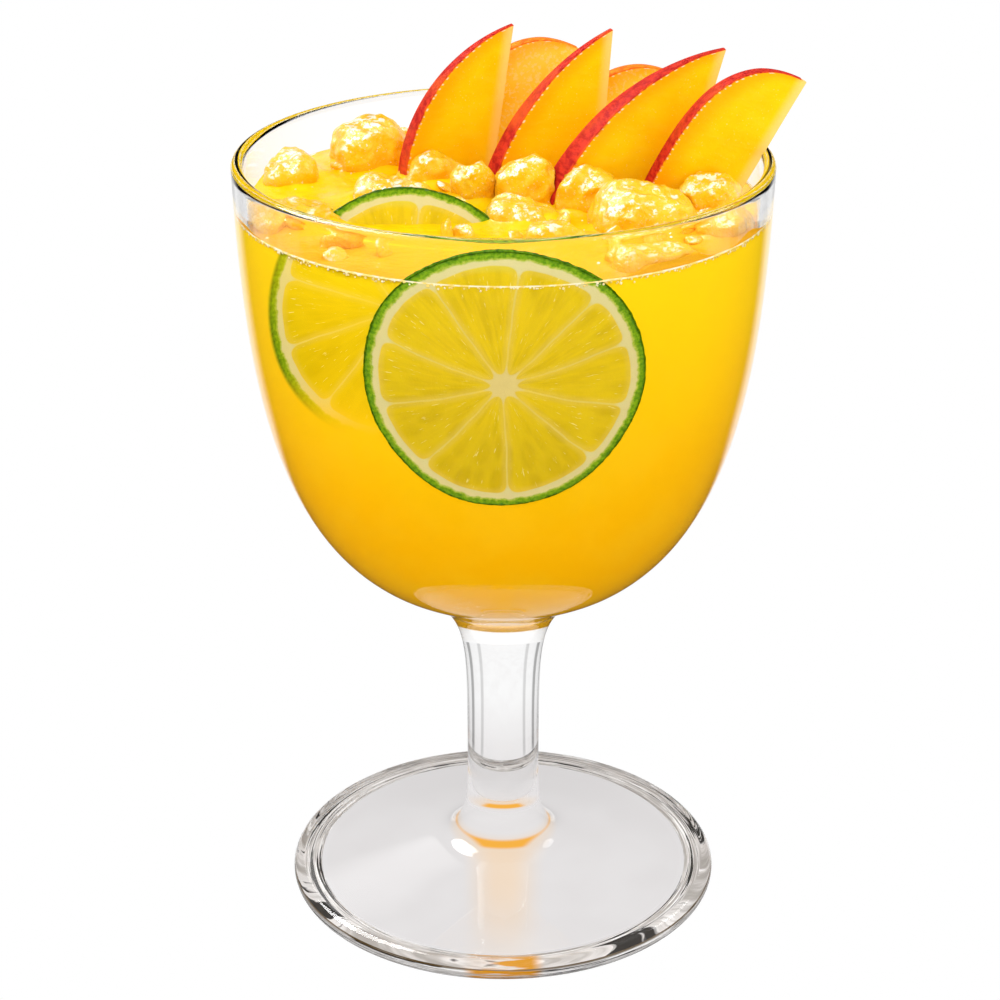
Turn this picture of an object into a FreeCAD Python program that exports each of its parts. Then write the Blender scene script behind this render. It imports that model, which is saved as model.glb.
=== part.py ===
import FreeCAD, Part
import math
import os

# A frozen mixed drink in a stemmed goblet. Millimetres, +Z up.
# The origin is the centre of the foot's flat underside. -Y is the side that the
# drink is served from: the front lime wheel faces it, and the fruit fan leans to +X.

V = FreeCAD.Vector

# ---------------------------------------------------------------- goblet
HEIGHT = 150.0            # foot to lip
FOOT_EDGE_R = 2.1         # rolled edge of the foot, radius of its section
FOOT_R = 42.4             # foot, outside
FOOT_HUB_Z = 8.4          # height of the foot's cone where it would meet the stem's axis side
FOOT_HUB_R = 12.6         # radius where the cone turns up into the stem
STEM_R = 7.05             # waist of the stem
STEM_FOOT_FLARE = 5.4     # extra radius of the stem at the foot ...
STEM_FOOT_LEN = 3.1       # ... and the height in which it falls by e
STEM_BOWL_FLARE = 7.5     # extra radius of the stem at STEM_BOWL_Z ...
STEM_BOWL_Z = 62.0
STEM_BOWL_LEN = 5.0       # ... and the height in which it falls by e
BOWL_R = 49.79            # bowl: radius that the side tends to
BOWL_BASE_Z = 62.43       # outside bottom pole of the bowl
BOWL_RISE = 4.95          # how upright the side stands
BOWL_ROUND = 2.576        # how full the bottom is
BOWL_FAR_Z = 220.0        # height at which the side would be vertical
WALL = 2.2                # wall at the side
CAVITY_BASE_Z = 68.6      # inside bottom pole, over the thick glass at the stem
LIP_Z = 147.45            # where the wall swells into the rolled lip
LIP_MID_R = 48.23         # middle of the lip

# ---------------------------------------------------------------- drink
LEVEL = 141.5             # surface of the drink

# ---------------------------------------------------------------- lime wheels
LIME_T = 3.6              # thickness of a wheel
FRONT_LIME_HALF_W = 23.9  # half chord of the wheel bent against the wall
FRONT_LIME_HALF_H = 24.2
FRONT_LIME_Z = 123.1
FRONT_LIME_TILT = 5.5     # lean of the wall there, degrees
LEFT_LIME_R = 22.8
LEFT_LIME_AT = (-17.4, -18.0, 125.6)
LEFT_LIME_LEAN = 22.4     # top leans back, degrees

# ---------------------------------------------------------------- fruit slices
# A slice is a thin wedge cut from a round fruit: a flat face between the cut edge
# and the curved skin, turned through a small angle about a line past the cut edge.
SLICE_HUB = 7.0           # distance of the wedge's line from the cut edge
FULL = 2.6                # fullness of the rounder slices' outline (2 is an ellipse)
# name: tip x, y, z; length; width; fullness (0: plain arc); wedge angle;
#       turn about Z; lean to +X; lean back
SLICES = {
    "fruit_slice_1": (1.7, 22.0, 168.7, 56.6, 18.5, 0, 9.0, 24.0, 7.9, 3.0),
    "fruit_slice_2": (20.0, 17.5, 168.9, 78.5, 24.3, 0, 9.5, 25.0, 4.25, 3.0),
    "fruit_slice_3": (40.4, 10.5, 167.0, 81.1, 28.6, 0, 9.5, 26.0, 15.1, 3.0),
    "fruit_slice_4": (54.6, 3.0, 162.9, 47.4, 17.2, FULL, 8.5, 14.0, 28.45, 0.0),
    "fruit_slice_5": (14.95, 31.0, 161.6, 47.4, 17.2, FULL, 8.5, 14.0, 28.45, 2.0),
    "fruit_slice_6": (33.5, 27.0, 157.4, 47.4, 17.2, FULL, 8.5, 14.0, 28.45, 2.0),
}

# ---------------------------------------------------------------- ice
# name: centre x, y; top z; size x, y, z; turns about Z, X, Y in degrees
ICE = {
    "ice_01": (-25.3, 25.0, 150.2, 14.8, 14.0, 15.0, 24.0, 14.0, -12.0),
    "ice_02": (-12.0, 26.5, 148.6, 11.5, 9.0, 14.0, -18.0, 8.0, 26.0),
    "ice_03": (-13.2, 12.6, 147.6, 11.6, 8.6, 12.5, 12.0, -10.0, 24.0),
    "ice_04": (-20.4, 2.2, 145.6, 15.4, 10.0, 10.0, -10.0, 8.0, 6.0),
    "ice_05": (-5.4, 1.0, 148.6, 7.4, 7.6, 11.0, 20.0, 10.0, -8.0),
    "ice_06": (4.6, -1.6, 150.2, 11.6, 9.6, 13.0, 16.0, -8.0, -14.0),
    "ice_07": (14.8, -5.2, 149.6, 10.4, 9.8, 12.0, -22.0, 12.0, 10.0),
    "ice_08": (25.0, -13.6, 149.2, 19.0, 15.0, 15.0, 14.0, 10.0, 16.0),
    "ice_09": (37.6, -4.4, 147.9, 11.8, 10.6, 13.0, -14.0, 6.0, -10.0),
    "ice_10": (3.4, -10.0, 145.3, 12.6, 10.2, 10.0, -16.0, 8.0, 8.0),
    "ice_11": (8.4, -22.6, 144.8, 10.0, 8.4, 9.0, 12.0, -10.0, -6.0),
    "ice_12": (-40.4, 15.0, 146.4, 10.6, 14.0, 9.0, 18.0, 8.0, -16.0),
    "ice_13": (-37.0, -12.6, 146.2, 16.5, 11.6, 9.0, 28.0, -8.0, 10.0),
    "ice_14": (25.5, -34.0, 145.4, 17.0, 10.0, 8.0, 30.0, -6.0, 8.0),
    "ice_15": (38.4, -19.6, 146.3, 9.6, 8.6, 9.0, -20.0, 8.0, -8.0),
}
ICE_ROUND = 0.36          # edge radius over the smallest side
CLEAR = 0.3               # gap between loose pieces and the wall


# ================================================================ helpers
def bowl_outside(z):
    u = (BOWL_FAR_Z - z) / (BOWL_FAR_Z - BOWL_BASE_Z)
    return BOWL_R * (1.0 - u ** BOWL_RISE) ** (1.0 / BOWL_ROUND)


def bowl_inside(z, inset=0.0):
    u = (BOWL_FAR_Z - z) / (BOWL_FAR_Z - CAVITY_BASE_Z)
    return (BOWL_R - WALL) * (1.0 - u ** BOWL_RISE) ** (1.0 / BOWL_ROUND) - inset


def stem_side(z):
    low = STEM_FOOT_FLARE * math.exp(-(z - FOOT_HUB_Z) / STEM_FOOT_LEN)
    high = STEM_BOWL_FLARE * math.exp((z - STEM_BOWL_Z) / STEM_BOWL_LEN)
    return STEM_R + low + high


def spline(points, first, last, bands):
    """A smooth profile through points, as a number of edges end to end."""
    curve = Part.BSplineCurve()
    curve.interpolate(Points=[V(r, 0, z) for r, z in points],
                      InitialTangent=V(*first).normalize(), FinalTangent=V(*last).normalize(),
                      Scale=False)
    cuts = steps(curve.FirstParameter, curve.LastParameter, bands)
    return [curve.toShape(a, b) for a, b in zip(cuts, cuts[1:])]


def steps(a, b, n):
    return [a + (b - a) * i / n for i in range(n + 1)]


def line(a, b):
    return Part.LineSegment(V(a[0], 0, a[1]), V(b[0], 0, b[1])).toShape()


def arc(a, b, c):
    return Part.Arc(V(a[0], 0, a[1]), V(b[0], 0, b[1]), V(c[0], 0, c[1])).toShape()


def lathe(edges):
    face = Part.Face(Part.Wire(edges))
    solid = face.revolve(V(0, 0, 0), V(0, 0, 1), 360)
    return whole(solid)


def whole(shape):
    """The largest solid of a shape, turned the right way out."""
    solids = sorted(shape.Solids, key=lambda s: -abs(s.Volume))
    best = solids[0]
    if best.Volume < 0:
        best.reverse()
    return best


def inside_curve(top, inset=0.0):
    """Points of the cavity's wall from its bottom pole up to a height."""
    base = CAVITY_BASE_Z + inset * 1.6
    pts = [(0.0, base)]
    for t in steps(0.0, 1.0, 22)[1:]:
        # closer together at the bottom, where the wall turns
        z = CAVITY_BASE_Z + (top - CAVITY_BASE_Z) * t ** 2.2
        r = bowl_inside(z, inset)
        if r > 4.0 and z > base + 0.02:
            pts.append((r, z))
    return pts


def wall_profile(pts):
    end = (pts[-1][0] - pts[-2][0], 0, pts[-1][1] - pts[-2][1])
    return spline(pts, (1, 0, 0), end, 8)


def filling(top, inset=0.0):
    """Solid that fills the cavity up to a height at or below the lip."""
    pts = inside_curve(LIP_Z, inset)
    r = pts[-1][0]
    full = lathe(wall_profile(pts) + [line((r, LIP_Z), (0, LIP_Z)), line((0, LIP_Z), pts[0])])
    if top < LIP_Z:
        full = whole(full.cut(Part.makeBox(200, 200, 50, V(-100, -100, top))))
    return full


# ================================================================ goblet
def goblet():
    edge_in = FOOT_R - FOOT_EDGE_R
    edge_top = 2 * FOOT_EDGE_R
    base = line((0, 0), (edge_in, 0))
    bead = arc((edge_in, 0), (FOOT_R, FOOT_EDGE_R), (edge_in, edge_top))
    cone = line((edge_in, edge_top), (FOOT_HUB_R + 2.4, FOOT_HUB_Z - 0.3))
    side = [(FOOT_HUB_R + 2.4, FOOT_HUB_Z - 0.3)]
    side += [(stem_side(z), z) for z in steps(FOOT_HUB_Z + 0.7, 34.0, 9)]
    side += [(stem_side(z), z) for z in steps(38.0, 62.8, 7)]
    side += [(bowl_outside(z), z) for z in steps(66.5, 78.0, 5)]
    side += [(bowl_outside(z), z) for z in steps(84.0, LIP_Z, 8)]
    slope = (FOOT_HUB_R + 2.4 - edge_in, 0, FOOT_HUB_Z - 0.3 - edge_top)
    rise = (side[-1][0] - side[-2][0], 0, side[-1][1] - side[-2][1])
    outside = spline(side, slope, rise, 16)
    inner = inside_curve(LIP_Z)
    lip = arc(side[-1], (LIP_MID_R, HEIGHT), inner[-1])
    cavity = wall_profile(inner)
    axis = line(inner[0], (0, 0))
    return lathe([base, bead, cone] + outside + [lip] + cavity[::-1] + [axis])


# ================================================================ fruit
def oval_bar(half_w, half_h, length):
    """Bar of oval section along -Y, its section's centre at the origin."""
    if half_h > half_w:
        oval = Part.Ellipse(V(0, 0, half_h), V(half_w, 0, 0), V(0, 0, 0))
    else:
        oval = Part.Ellipse(V(half_w, 0, 0), V(0, 0, half_h), V(0, 0, 0))
    face = Part.Face(Part.Wire([oval.toShape()]))
    return face.extrude(V(0, -length, 0))


def front_lime():
    """A wheel bent to lie flat against the inside of the wall."""
    wall_there = bowl_inside(FRONT_LIME_Z)
    bar = oval_bar(FRONT_LIME_HALF_W, FRONT_LIME_HALF_H, 40.0)
    bar.translate(V(0, -20.0, 0))
    bar.rotate(V(0, 0, 0), V(1, 0, 0), FRONT_LIME_TILT)
    bar.translate(V(0, 0, FRONT_LIME_Z + wall_there * math.sin(math.radians(FRONT_LIME_TILT))))
    heights = steps(FRONT_LIME_Z - FRONT_LIME_HALF_H - 3.0, LIP_Z, 9)
    outer = [(bowl_inside(z), z) for z in heights]
    inner = [(r - LIME_T, z) for r, z in outer]
    up = (outer[1][0] - outer[0][0], 0, outer[1][1] - outer[0][1])
    over = (outer[-1][0] - outer[-2][0], 0, outer[-1][1] - outer[-2][1])
    face = Part.Face(Part.Wire(spline(outer, up, over, 1) + [line(outer[-1], inner[-1])]
                               + spline(inner, up, over, 1) + [line(inner[0], outer[0])]))
    sector = 80.0
    band = face.revolve(V(0, 0, 0), V(0, 0, 1), sector)
    band.rotate(V(0, 0, 0), V(0, 0, 1), -90.0 - sector / 2)
    return whole(whole(band).common(bar))


def left_lime():
    wheel = Part.makeCylinder(LEFT_LIME_R, LIME_T, V(0, LIME_T / 2, 0), V(0, -1, 0))
    wheel = whole(wheel.makeFillet(0.4, [e for e in wheel.Edges if len(e.Vertexes) == 1]))
    wheel.rotate(V(0, 0, 0), V(1, 0, 0), -LEFT_LIME_LEAN)
    wheel.translate(V(*LEFT_LIME_AT))
    return whole(wheel)


def skin_line(length, width, fullness):
    if not fullness:
        return Part.Arc(V(0, 0, 0), V(-width, 0, -length / 2), V(0, 0, -length)).toShape()
    points = []
    for i in range(25):
        t = math.pi * i / 24
        along = math.copysign(abs(math.cos(t)) ** (2 / fullness), math.cos(t))
        points.append(V(-width * abs(math.sin(t)) ** (2 / fullness), 0, -length / 2 * (1 - along)))
    points[0], points[-1] = V(0, 0, 0), V(0, 0, -length)
    line = Part.BSplineCurve()
    line.interpolate(points)
    return line.toShape()


def slice_of_fruit(x, y, z, length, width, fullness, wedge, turn, lean, back):
    skin = skin_line(length, width, fullness)
    cut = Part.LineSegment(V(0, 0, -length), V(0, 0, 0)).toShape()
    face = Part.Face(Part.Wire([skin, cut]))
    hub = V(SLICE_HUB, 0, 0)
    face.rotate(hub, V(0, 0, 1), -wedge / 2)
    solid = whole(face.revolve(hub, V(0, 0, 1), wedge))
    solid.rotate(V(0, 0, 0), V(0, 0, 1), turn)
    solid.rotate(V(0, 0, 0), V(0, 1, 0), lean)
    solid.rotate(V(0, 0, 0), V(1, 0, 0), -back)
    solid.translate(V(x, y, z))
    return solid


# ================================================================ ice
def lump(x, y, top, sx, sy, sz, about_z, about_x, about_y):
    block = Part.makeBox(sx, sy, sz, V(-sx / 2, -sy / 2, -sz / 2))
    block = block.makeFillet(ICE_ROUND * min(sx, sy, sz), block.Edges)
    block.rotate(V(0, 0, 0), V(0, 0, 1), about_z)
    block.rotate(V(0, 0, 0), V(1, 0, 0), about_x)
    block.rotate(V(0, 0, 0), V(0, 1, 0), about_y)
    block.translate(V(x, y, top - block.BoundBox.ZMax))
    return whole(block)


def near(a, b):
    return a.BoundBox.intersect(b.BoundBox)


def clear_of(shape, others):
    for other in others:
        if near(shape, other) and shape.common(other).Volume > 1e-3:
            shape = whole(shape.cut(other))
    return shape


# ================================================================ build
def build():
    pieces = {"glass": goblet()}
    pieces["lime_wheel_front"] = front_lime()
    pieces["lime_wheel_left"] = clear_of(left_lime(), [pieces["lime_wheel_front"]])
    placed = [pieces["lime_wheel_front"], pieces["lime_wheel_left"]]

    for name in ("fruit_slice_4", "fruit_slice_3", "fruit_slice_2", "fruit_slice_1",
                 "fruit_slice_6", "fruit_slice_5"):
        pieces[name] = clear_of(slice_of_fruit(*SLICES[name]), placed + [pieces["glass"]])
        placed.append(pieces[name])

    free = filling(LIP_Z, CLEAR)
    neck = Part.makeCylinder(bowl_inside(LIP_Z) - 1.0, 6.0, V(0, 0, LIP_Z - 0.5))
    free = whole(free.fuse(neck))
    for name, sizes in ICE.items():
        pieces[name] = clear_of(whole(lump(*sizes).common(free)), placed)
        placed.append(pieces[name])

    drink = filling(LEVEL)
    for piece in placed:
        if near(drink, piece):
            drink = whole(drink.cut(piece))
    pieces["drink"] = drink
    return pieces


PIECES = build()
os.makedirs("parts", exist_ok=True)
for name, shape in PIECES.items():
    shape.exportStep(os.path.join("parts", name + ".step"))
    box = shape.optimalBoundingBox(False, False)
    print("%-18s %s solids %d  %9.1f mm3  x %.1f..%.1f  y %.1f..%.1f  z %.1f..%.1f" % (
        name, "valid" if shape.isValid() else "INVALID", len(shape.Solids), shape.Volume,
        box.XMin, box.XMax, box.YMin, box.YMax, box.ZMin, box.ZMax))
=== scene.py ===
import math
import random
import bpy
import numpy as np
from mathutils import Matrix, Vector, noise


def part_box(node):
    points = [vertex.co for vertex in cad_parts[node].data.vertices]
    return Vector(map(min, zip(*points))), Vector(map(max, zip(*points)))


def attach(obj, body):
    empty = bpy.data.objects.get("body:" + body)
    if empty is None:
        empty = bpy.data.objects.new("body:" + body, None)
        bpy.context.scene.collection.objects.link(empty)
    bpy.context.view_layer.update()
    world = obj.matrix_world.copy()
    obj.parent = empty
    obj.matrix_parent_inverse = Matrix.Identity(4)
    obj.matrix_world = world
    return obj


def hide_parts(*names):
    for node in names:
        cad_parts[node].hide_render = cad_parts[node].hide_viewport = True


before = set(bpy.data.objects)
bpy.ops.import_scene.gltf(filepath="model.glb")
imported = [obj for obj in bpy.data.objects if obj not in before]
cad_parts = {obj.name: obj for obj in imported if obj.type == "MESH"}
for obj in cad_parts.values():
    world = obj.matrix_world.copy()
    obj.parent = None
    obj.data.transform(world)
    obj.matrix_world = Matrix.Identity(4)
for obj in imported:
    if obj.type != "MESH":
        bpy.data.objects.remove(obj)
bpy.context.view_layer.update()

rng = np.random.default_rng(7)
MM = 0.001

# ------------------------------------------------------------------ sizes (mm), as in the CAD
HEIGHT, LIP_Z, LIP_MID_R = 150.0, 147.45, 48.23
FOOT_EDGE_R, FOOT_R, FOOT_HUB_Z, FOOT_HUB_R = 2.1, 42.4, 8.4, 12.6
STEM_R, STEM_FOOT_FLARE, STEM_FOOT_LEN = 7.05, 5.4, 3.1
STEM_BOWL_FLARE, STEM_BOWL_Z, STEM_BOWL_LEN = 7.5, 62.0, 5.0
BOWL_R, BOWL_BASE_Z, BOWL_RISE, BOWL_ROUND, BOWL_FAR_Z = 49.79, 62.43, 4.95, 2.576, 220.0
WALL, CAVITY_BASE_Z = 2.2, 68.6
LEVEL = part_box("drink")[1].z / MM


def bowl_outside(z):
    u = (BOWL_FAR_Z - z) / (BOWL_FAR_Z - BOWL_BASE_Z)
    return BOWL_R * (1.0 - u ** BOWL_RISE) ** (1.0 / BOWL_ROUND)


def bowl_inside(z, inset=0.0):
    u = np.minimum((BOWL_FAR_Z - z) / (BOWL_FAR_Z - CAVITY_BASE_Z), 1.0)
    return (BOWL_R - WALL) * (1.0 - u ** BOWL_RISE) ** (1.0 / BOWL_ROUND) - inset


def stem_side(z):
    low = STEM_FOOT_FLARE * math.exp(-(z - FOOT_HUB_Z) / STEM_FOOT_LEN)
    high = STEM_BOWL_FLARE * math.exp((z - STEM_BOWL_Z) / STEM_BOWL_LEN)
    return STEM_R + low + high


def cubic(points, n):
    """n points along a natural cubic spline through points."""
    p = np.array(points, float)
    t = np.concatenate([[0], np.cumsum(np.linalg.norm(np.diff(p, axis=0), axis=1))])
    h = np.diff(t)
    m = len(p)
    a = np.zeros((m, m)); b = np.zeros((m, p.shape[1]))
    a[0, 0] = a[-1, -1] = 1
    for i in range(1, m - 1):
        a[i, i - 1], a[i, i], a[i, i + 1] = h[i - 1], 2 * (h[i - 1] + h[i]), h[i]
        b[i] = 6 * ((p[i + 1] - p[i]) / h[i] - (p[i] - p[i - 1]) / h[i - 1])
    c = np.linalg.solve(a, b)
    s = np.linspace(0, t[-1], n)
    k = np.clip(np.searchsorted(t, s, side="right") - 1, 0, m - 2)
    d0 = (t[k + 1] - s)[:, None]; d1 = (s - t[k])[:, None]; hk = h[k][:, None]
    return (c[k] * d0 ** 3 + c[k + 1] * d1 ** 3) / (6 * hk) + (p[k] / hk - c[k] * hk / 6) * d0 + (p[k + 1] / hk - c[k + 1] * hk / 6) * d1


def mesh_object(name, verts, faces, mat=None, smooth=True, mat_index=None, uvs=None, attrs=None):
    me = bpy.data.meshes.new(name)
    me.from_pydata([tuple(v) for v in np.asarray(verts) * MM], [], [tuple(int(i) for i in f) for f in faces])
    if uvs is not None:
        for layer, co in uvs.items():
            lay = me.uv_layers.new(name=layer)
            idx = np.zeros(len(me.loops), np.int32)
            me.loops.foreach_get("vertex_index", idx)
            lay.data.foreach_set("uv", np.asarray(co, np.float32)[idx].ravel())
    if attrs is not None:
        for key, val in attrs.items():
            at = me.attributes.new(key, "FLOAT", "POINT")
            at.data.foreach_set("value", np.asarray(val, np.float32))
    for m in (mat if isinstance(mat, (list, tuple)) else [mat]):
        if m is not None:
            me.materials.append(m)
    if mat_index is not None:
        me.polygons.foreach_set("material_index", np.asarray(mat_index, np.int32))
    me.polygons.foreach_set("use_smooth", [smooth] * len(me.polygons))
    me.update()
    me.validate()
    ob = bpy.data.objects.new(name, me)
    bpy.context.scene.collection.objects.link(ob)
    return ob


def lathe(profile, n):
    """Closed surface of revolution from (r, z) points; points on the axis become poles."""
    verts, rings, faces = [], [], []
    ang = np.linspace(0, 2 * np.pi, n, endpoint=False)
    for r, z in profile:
        if r < 1e-6:
            rings.append([len(verts)]); verts.append((0, 0, z))
        else:
            rings.append(list(range(len(verts), len(verts) + n)))
            verts += [(r * math.cos(a), r * math.sin(a), z) for a in ang]
    for a, b in zip(rings, rings[1:]):
        for i in range(n):
            j = (i + 1) % n
            if len(a) == 1 and len(b) == 1:
                continue
            if len(a) == 1:
                faces.append((a[0], b[j], b[i]))
            elif len(b) == 1:
                faces.append((a[i], a[j], b[0]))
            else:
                faces.append((a[i], a[j], b[j], b[i]))
    return verts, faces


# ------------------------------------------------------------------ node helpers
def lin(r, g, b):
    def f(c):
        c = c / 255.0
        return c / 12.92 if c <= 0.04045 else ((c + 0.055) / 1.055) ** 2.4
    return (f(r), f(g), f(b), 1.0)


class Nodes:
    def __init__(self, tree):
        self.t = tree

    def new(self, kind, **props):
        n = self.t.nodes.new(kind)
        for k, v in props.items():
            setattr(n, k, v)
        return n

    def link(self, a, b):
        self.t.links.new(a, b)

    def put(self, sock, v):
        if isinstance(v, bpy.types.NodeSocket):
            self.link(v, sock)
        else:
            sock.default_value = v

    def math(self, op, a, b=None, c=None, clamp=False):
        n = self.new("ShaderNodeMath", operation=op, use_clamp=clamp)
        self.put(n.inputs[0], a)
        if b is not None:
            self.put(n.inputs[1], b)
        if c is not None:
            self.put(n.inputs[2], c)
        return n.outputs[0]

    def dot(self, v, const):
        n = self.new("ShaderNodeVectorMath", operation="DOT_PRODUCT")
        self.link(v, n.inputs[0])
        n.inputs[1].default_value = const
        return n.outputs["Value"]

    def vec(self, op, a, b=None, scale=None):
        n = self.new("ShaderNodeVectorMath", operation=op)
        self.put(n.inputs[0], a)
        if b is not None:
            self.put(n.inputs[1], b)
        if scale is not None:
            self.put(n.inputs["Scale"], scale)
        return n.outputs["Vector"]

    def xyz(self, x, y, z):
        n = self.new("ShaderNodeCombineXYZ")
        for s, v in zip(n.inputs, (x, y, z)):
            self.put(s, v)
        return n.outputs[0]

    def split(self, v):
        n = self.new("ShaderNodeSeparateXYZ")
        self.link(v, n.inputs[0])
        return n.outputs

    def ramp(self, v, lo, hi, a=0.0, b=1.0, smooth=True):
        n = self.new("ShaderNodeMapRange", interpolation_type="SMOOTHSTEP" if smooth else "LINEAR")
        self.put(n.inputs["Value"], v)
        n.inputs["From Min"].default_value = lo
        n.inputs["From Max"].default_value = hi
        n.inputs["To Min"].default_value = a
        n.inputs["To Max"].default_value = b
        return n.outputs["Result"]

    def mix(self, f, a, b, blend="MIX"):
        n = self.new("ShaderNodeMix", data_type="RGBA", blend_type=blend)
        self.put(n.inputs[0], f)
        self.put(n.inputs[6], a)
        self.put(n.inputs[7], b)
        return n.outputs[2]

    def noise(self, vec, scale, detail=2.0, rough=0.5, out="Fac"):
        n = self.new("ShaderNodeTexNoise")
        self.link(vec, n.inputs["Vector"])
        n.inputs["Scale"].default_value = scale
        n.inputs["Detail"].default_value = detail
        n.inputs["Roughness"].default_value = rough
        return n.outputs[out]

    def voronoi(self, vec, scale, feature="F1", out="Distance"):
        n = self.new("ShaderNodeTexVoronoi", feature=feature)
        self.link(vec, n.inputs["Vector"])
        n.inputs["Scale"].default_value = scale
        return n.outputs[out]

    def bump(self, height, strength, dist, normal=None):
        n = self.new("ShaderNodeBump")
        n.inputs["Strength"].default_value = strength
        n.inputs["Distance"].default_value = dist
        self.link(height, n.inputs["Height"])
        if normal is not None:
            self.link(normal, n.inputs["Normal"])
        return n.outputs[0]

    def attr(self, name, out="Fac"):
        return self.new("ShaderNodeAttribute", attribute_name=name).outputs[out]

    def uv(self, name):
        return self.new("ShaderNodeUVMap", uv_map=name).outputs[0]

    def obj(self):
        """Object coordinates in millimetres."""
        n = self.new("ShaderNodeTexCoord")
        return self.vec("SCALE", n.outputs["Object"], scale=1000.0)


def material(name):
    m = bpy.data.materials.new(name)
    m.use_nodes = True
    t = m.node_tree
    bsdf = t.nodes["Principled BSDF"]
    return m, Nodes(t), bsdf


# ------------------------------------------------------------------ lime pattern, shared
SEG_DEG = [125, 83, 43.6, 15.7, -16.9, -45, -88, -130, -164, 162]
FLESH_R = 0.885


def lime_group():
    """Vector (disc coordinates, rim at 1) -> colour, height, flesh mask."""
    g = bpy.data.node_groups.new("lime_pattern", "ShaderNodeTree")
    g.interface.new_socket("Vector", in_out="INPUT", socket_type="NodeSocketVector")
    g.interface.new_socket("Color", in_out="OUTPUT", socket_type="NodeSocketColor")
    g.interface.new_socket("Height", in_out="OUTPUT", socket_type="NodeSocketFloat")
    g.interface.new_socket("Flesh", in_out="OUTPUT", socket_type="NodeSocketFloat")
    k = Nodes(g)
    gi = k.new("NodeGroupInput"); go = k.new("NodeGroupOutput")
    v0 = gi.outputs[0]
    warp = k.vec("SUBTRACT", k.noise(v0, 2.6, 2.0, out="Color"), (0.5, 0.5, 0.5))
    v = k.vec("ADD", v0, k.vec("SCALE", warp, scale=0.045))
    x, y, _ = k.split(v)
    r = k.math("SQRT", k.math("ADD", k.math("MULTIPLY", x, x), k.math("MULTIPLY", y, y)))
    x0, y0, _ = k.split(v0)
    rr = k.math("SQRT", k.math("ADD", k.math("MULTIPLY", x0, x0), k.math("MULTIPLY", y0, y0)))
    dmin = None
    for a in SEG_DEG:
        ca, sa = math.cos(math.radians(a)), math.sin(math.radians(a))
        along = k.dot(v, (ca, sa, 0))
        across = k.math("ABSOLUTE", k.dot(v, (sa, -ca, 0)))
        back = k.math("MULTIPLY", k.math("MAXIMUM", k.math("MULTIPLY", along, -1.0), 0.0), 8.0)
        d = k.math("ADD", across, back)
        dmin = d if dmin is None else k.math("MINIMUM", dmin, d)
    fine = k.noise(v0, 9.0, 3.0)
    width = k.math("ADD", 0.000, k.math("MULTIPLY", fine, 0.009))
    seg = k.math("SMOOTH_MIN", k.math("SUBTRACT", dmin, width),
                 k.math("MULTIPLY", k.math("SUBTRACT", FLESH_R, r), 0.9), 0.12)
    seg = k.math("SMOOTH_MIN", seg, k.math("MULTIPLY", k.math("SUBTRACT", r, 0.085), 0.9), 0.07)
    mask = k.ramp(seg, -0.003, 0.007)
    # flesh: radial vesicles
    inv = k.math("DIVIDE", 1.0, k.math("MAXIMUM", r, 0.02))
    dirv = k.vec("SCALE", k.xyz(x, y, 0.0), scale=inv)
    dx, dy, _ = k.split(dirv)
    polar = k.xyz(k.math("MULTIPLY", dx, 17.0), k.math("MULTIPLY", dy, 17.0), k.math("MULTIPLY", r, 3.4))
    streak = k.noise(polar, 1.0, 3.0, 0.55)
    cells = k.voronoi(k.xyz(k.math("MULTIPLY", dx, 6.5), k.math("MULTIPLY", dy, 6.5), k.math("MULTIPLY", r, 4.2)), 1.0)
    cloud = k.noise(v0, 2.2, 2.0)
    lower = k.ramp(y0, 0.55, -0.75)
    flesh = k.mix(lower, lin(228, 196, 4), lin(212, 181, 1))
    flesh = k.mix(k.ramp(streak, 0.36, 0.62, 0.0, 0.42), flesh, lin(200, 168, 2))
    flesh = k.mix(k.ramp(cells, 0.30, 0.60, 0.0, 0.30), flesh, lin(242, 212, 18))
    flesh = k.mix(k.ramp(cloud, 0.42, 0.68, 0.0, 0.35), flesh, lin(238, 205, 14))
    glint = k.ramp(k.noise(polar, 3.1, 2.0, 0.6), 0.655, 0.73, 0.0, 0.75)
    flesh = k.mix(glint, flesh, lin(250, 236, 140))
    edge = k.ramp(seg, 0.010, 0.05, 0.32, 0.0)
    flesh = k.mix(edge, flesh, lin(232, 205, 92))
    # pith and membranes
    pith = k.mix(k.ramp(r, 0.2, 0.86), lin(238, 212, 120), lin(224, 214, 148))
    pith = k.mix(k.ramp(fine, 0.35, 0.7, 0.0, 0.35), pith, lin(205, 196, 118))
    member = k.ramp(r, 0.12, 0.84)
    pith = k.mix(k.ramp(r, 0.12, 0.17), lin(228, 208, 132), k.mix(0.65, pith, lin(232, 204, 66)))
    pith = k.mix(k.ramp(r, 0.8, 0.86), pith, lin(222, 212, 150))
    col = k.mix(mask, pith, flesh)
    # rind
    jag = k.math("MULTIPLY", k.math("SUBTRACT", k.noise(k.xyz(k.math("MULTIPLY", dx, 16.0), k.math("MULTIPLY", dy, 16.0), k.math("MULTIPLY", r, 9.0)), 1.0, 3.0), 0.5), 0.045)
    re = k.math("ADD", rr, jag)
    mottle = k.ramp(k.noise(v0, 34.0, 3.0, 0.65), 0.36, 0.64)
    col = k.mix(k.ramp(re, 0.925, 0.940), col, k.mix(mottle, lin(150, 180, 26), lin(196, 200, 84)))
    col = k.mix(k.ramp(re, 0.938, 0.956), col, k.mix(mottle, lin(84, 138, 2), lin(134, 174, 14)))
    col = k.mix(k.ramp(re, 0.968, 0.99), col, k.mix(mottle, lin(56, 100, 2), lin(92, 142, 6)))
    k.link(col, go.inputs[0])
    h = k.math("ADD", k.math("MULTIPLY", mask, 0.35), k.math("ADD", k.math("MULTIPLY", cells, 0.35), k.math("MULTIPLY", streak, 0.3)))
    k.link(h, go.inputs[1])
    k.link(mask, go.inputs[2])
    return g


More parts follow.
